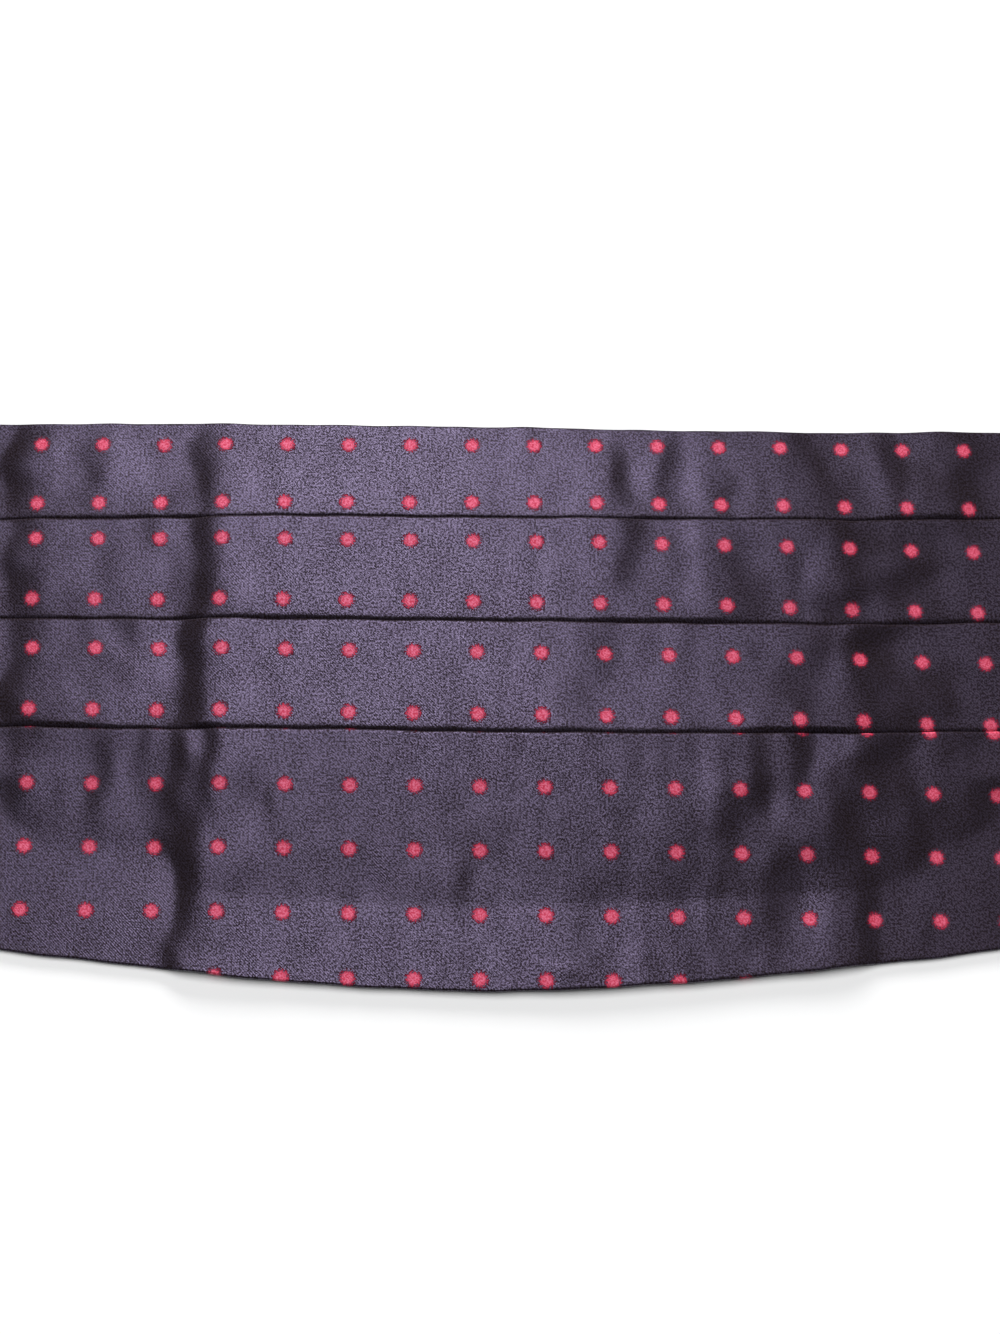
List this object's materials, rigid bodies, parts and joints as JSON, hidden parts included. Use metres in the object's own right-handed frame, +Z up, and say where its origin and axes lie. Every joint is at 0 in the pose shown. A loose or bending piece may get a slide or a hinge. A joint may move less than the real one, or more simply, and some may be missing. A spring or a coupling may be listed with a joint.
{
  "type": "cummerbund",
  "caption": "Pleated silk waist sash with a straight top edge and a curved hem, lying flat and open, with a strap and a plain clasp at each end.",
  "frame": {"origin": "on the surface that the sash lies on, under the middle of its pleated panel, halfway up the panel's depth", "axes": "+X along the sash towards the strap with the hook, +Y from the hem to the top edge, +Z up, out of the pleated front"},
  "size_m": [0.9704, 0.1362, 0.0068],
  "materials": {
    "dotted_silk": "fine twill silk with a soft sheen and small pink-red dots",
    "strap_silk": "fine twill silk with a soft sheen",
    "clasp_metal": "satin"
  },
  "bodies": {
    "root": {"pleated_front": "dotted_silk", "strap_left": "strap_silk", "strap_right": "strap_silk", "hook_plate": "clasp_metal", "eye_loop": "clasp_metal"}
  },
  "joints": []
}
